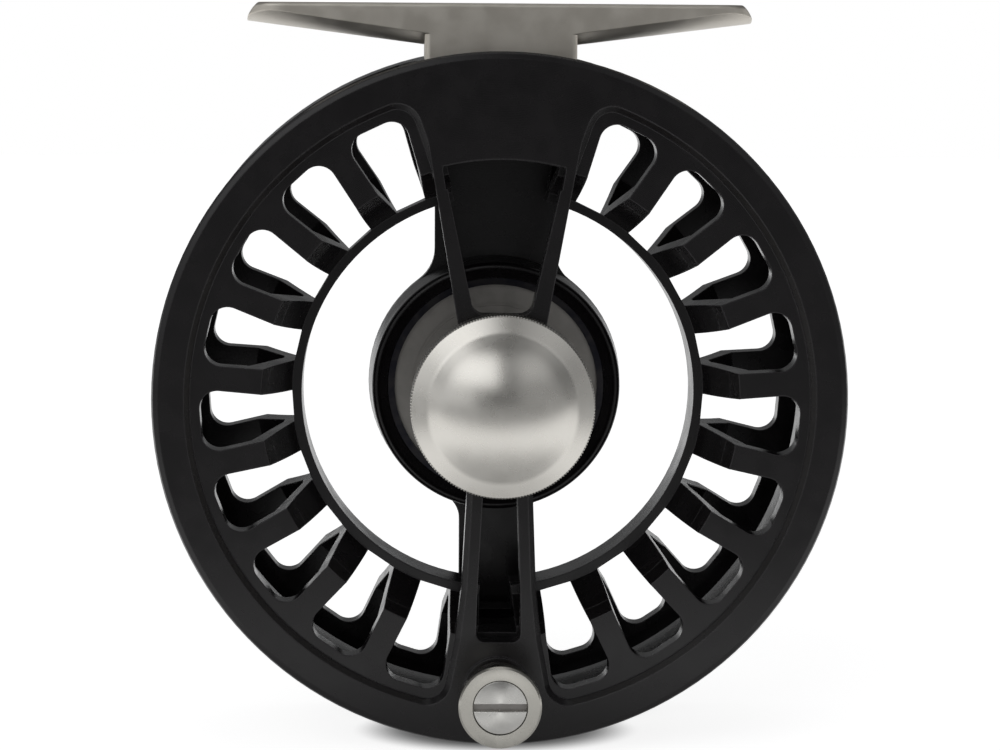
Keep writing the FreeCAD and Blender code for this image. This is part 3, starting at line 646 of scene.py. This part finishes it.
HEAD_R = 3.5
SLOT_HALF = 0.47
HEAD_FACE = GRIP_FACE + 0.08
SLOT_FLOOR = GRIP_FACE + 0.92
HEAD_BACK = GRIP_FACE + 1.2
LAND_EDGE = 0.09

bm = bmesh.new()
rims = half_land(bm, HEAD_R, SLOT_HALF, HEAD_FACE, SLOT_FLOOR, 1)
rims += half_land(bm, HEAD_R, SLOT_HALF, HEAD_FACE, SLOT_FLOOR, -1)
bmesh.ops.bevel(bm, geom=rims, offset=LAND_EDGE * MM, offset_type="OFFSET", segments=3, profile=0.5,
                affect="EDGES", material=-1, clamp_overlap=True)
bmesh.ops.recalc_face_normals(bm, faces=bm.faces)
lands = as_piece("screw_lands", bm)

# %% Screw body
DISC_R = HEAD_R - 0.01
BODY_R, BODY_END = 1.9, -15.6
SCREW_THREAD_R, SCREW_TIP = 1.5, -11.7
stem = turned_piece("screw_stem", [
    (0.0, SLOT_FLOOR), (DISC_R, SLOT_FLOOR, 0.05), (DISC_R, HEAD_BACK, 0.1), (BODY_R, HEAD_BACK),
    (BODY_R, BODY_END), (SCREW_THREAD_R, BODY_END), (SCREW_THREAD_R, SCREW_TIP, 0.3), (0.0, SCREW_TIP)],
    HANDLE_AXIS, segments=96)
for piece, finish in ((lands, screw_turned), (stem, slot_floor)):
    piece.data.materials.append(finish)
    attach(piece, "spool")
    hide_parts("handle_screw")

# %% [markdown]
# ## Drag housing
# The drag sits in a cup at the middle of the frame.  Its mouth has a rounded lip that shows as a bright
# ring, then a step down to a snap ring and a flat cover.  The cup is turned again here with its lip
# properly rounded, because that lip is the brightest line inside the reel.

# %% Cup
cup_low, cup_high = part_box("drag_housing")
CUP_MOUTH = cup_low[1] / MM
CUP_BACK = cup_high[1] / MM
COVER_SEAT_R = 15.0
POCKET_R, POCKET_MOUTH, POCKET_FLOOR = 14.6, CUP_MOUTH + 2.0, 8.4
STACK_R, CUP_FLOOR = 13.8, 15.0
SHELL_R, SHELL_END = 17.78, 12.95
BACK_R = 15.55
SPINDLE_R = 4.05
GROOVE = 0.3
cup = turned_piece("drag_cup", [
    (COVER_SEAT_R, POCKET_MOUTH), (COVER_SEAT_R, CUP_MOUTH + 1.2), (15.15, CUP_MOUTH + 0.9),
    (16.15, CUP_MOUTH + 0.35, 0.2), (16.45, CUP_MOUTH, 0.2), (17.2, CUP_MOUTH, 0.68),
    (17.3, CUP_MOUTH + 2.2, 0.4), (SHELL_R, SHELL_END), (BACK_R, SHELL_END),
    (BACK_R, CUP_BACK - 0.5, 0.3), (BACK_R - 0.5, CUP_BACK, 0.3), (12.2, CUP_BACK, 0.15),
    (11.9, CUP_BACK - GROOVE, 0.15), (7.2, CUP_BACK - GROOVE, 0.15), (6.9, CUP_BACK, 0.15),
    (SPINDLE_R, CUP_BACK), (SPINDLE_R, CUP_FLOOR), (STACK_R, CUP_FLOOR), (STACK_R, POCKET_FLOOR),
    (POCKET_R, POCKET_FLOOR), (POCKET_R, POCKET_MOUTH)], AXIS, segments=192, closed=True)
fit_piece(cup, "frame", black, "black_anodise", "drag_housing")
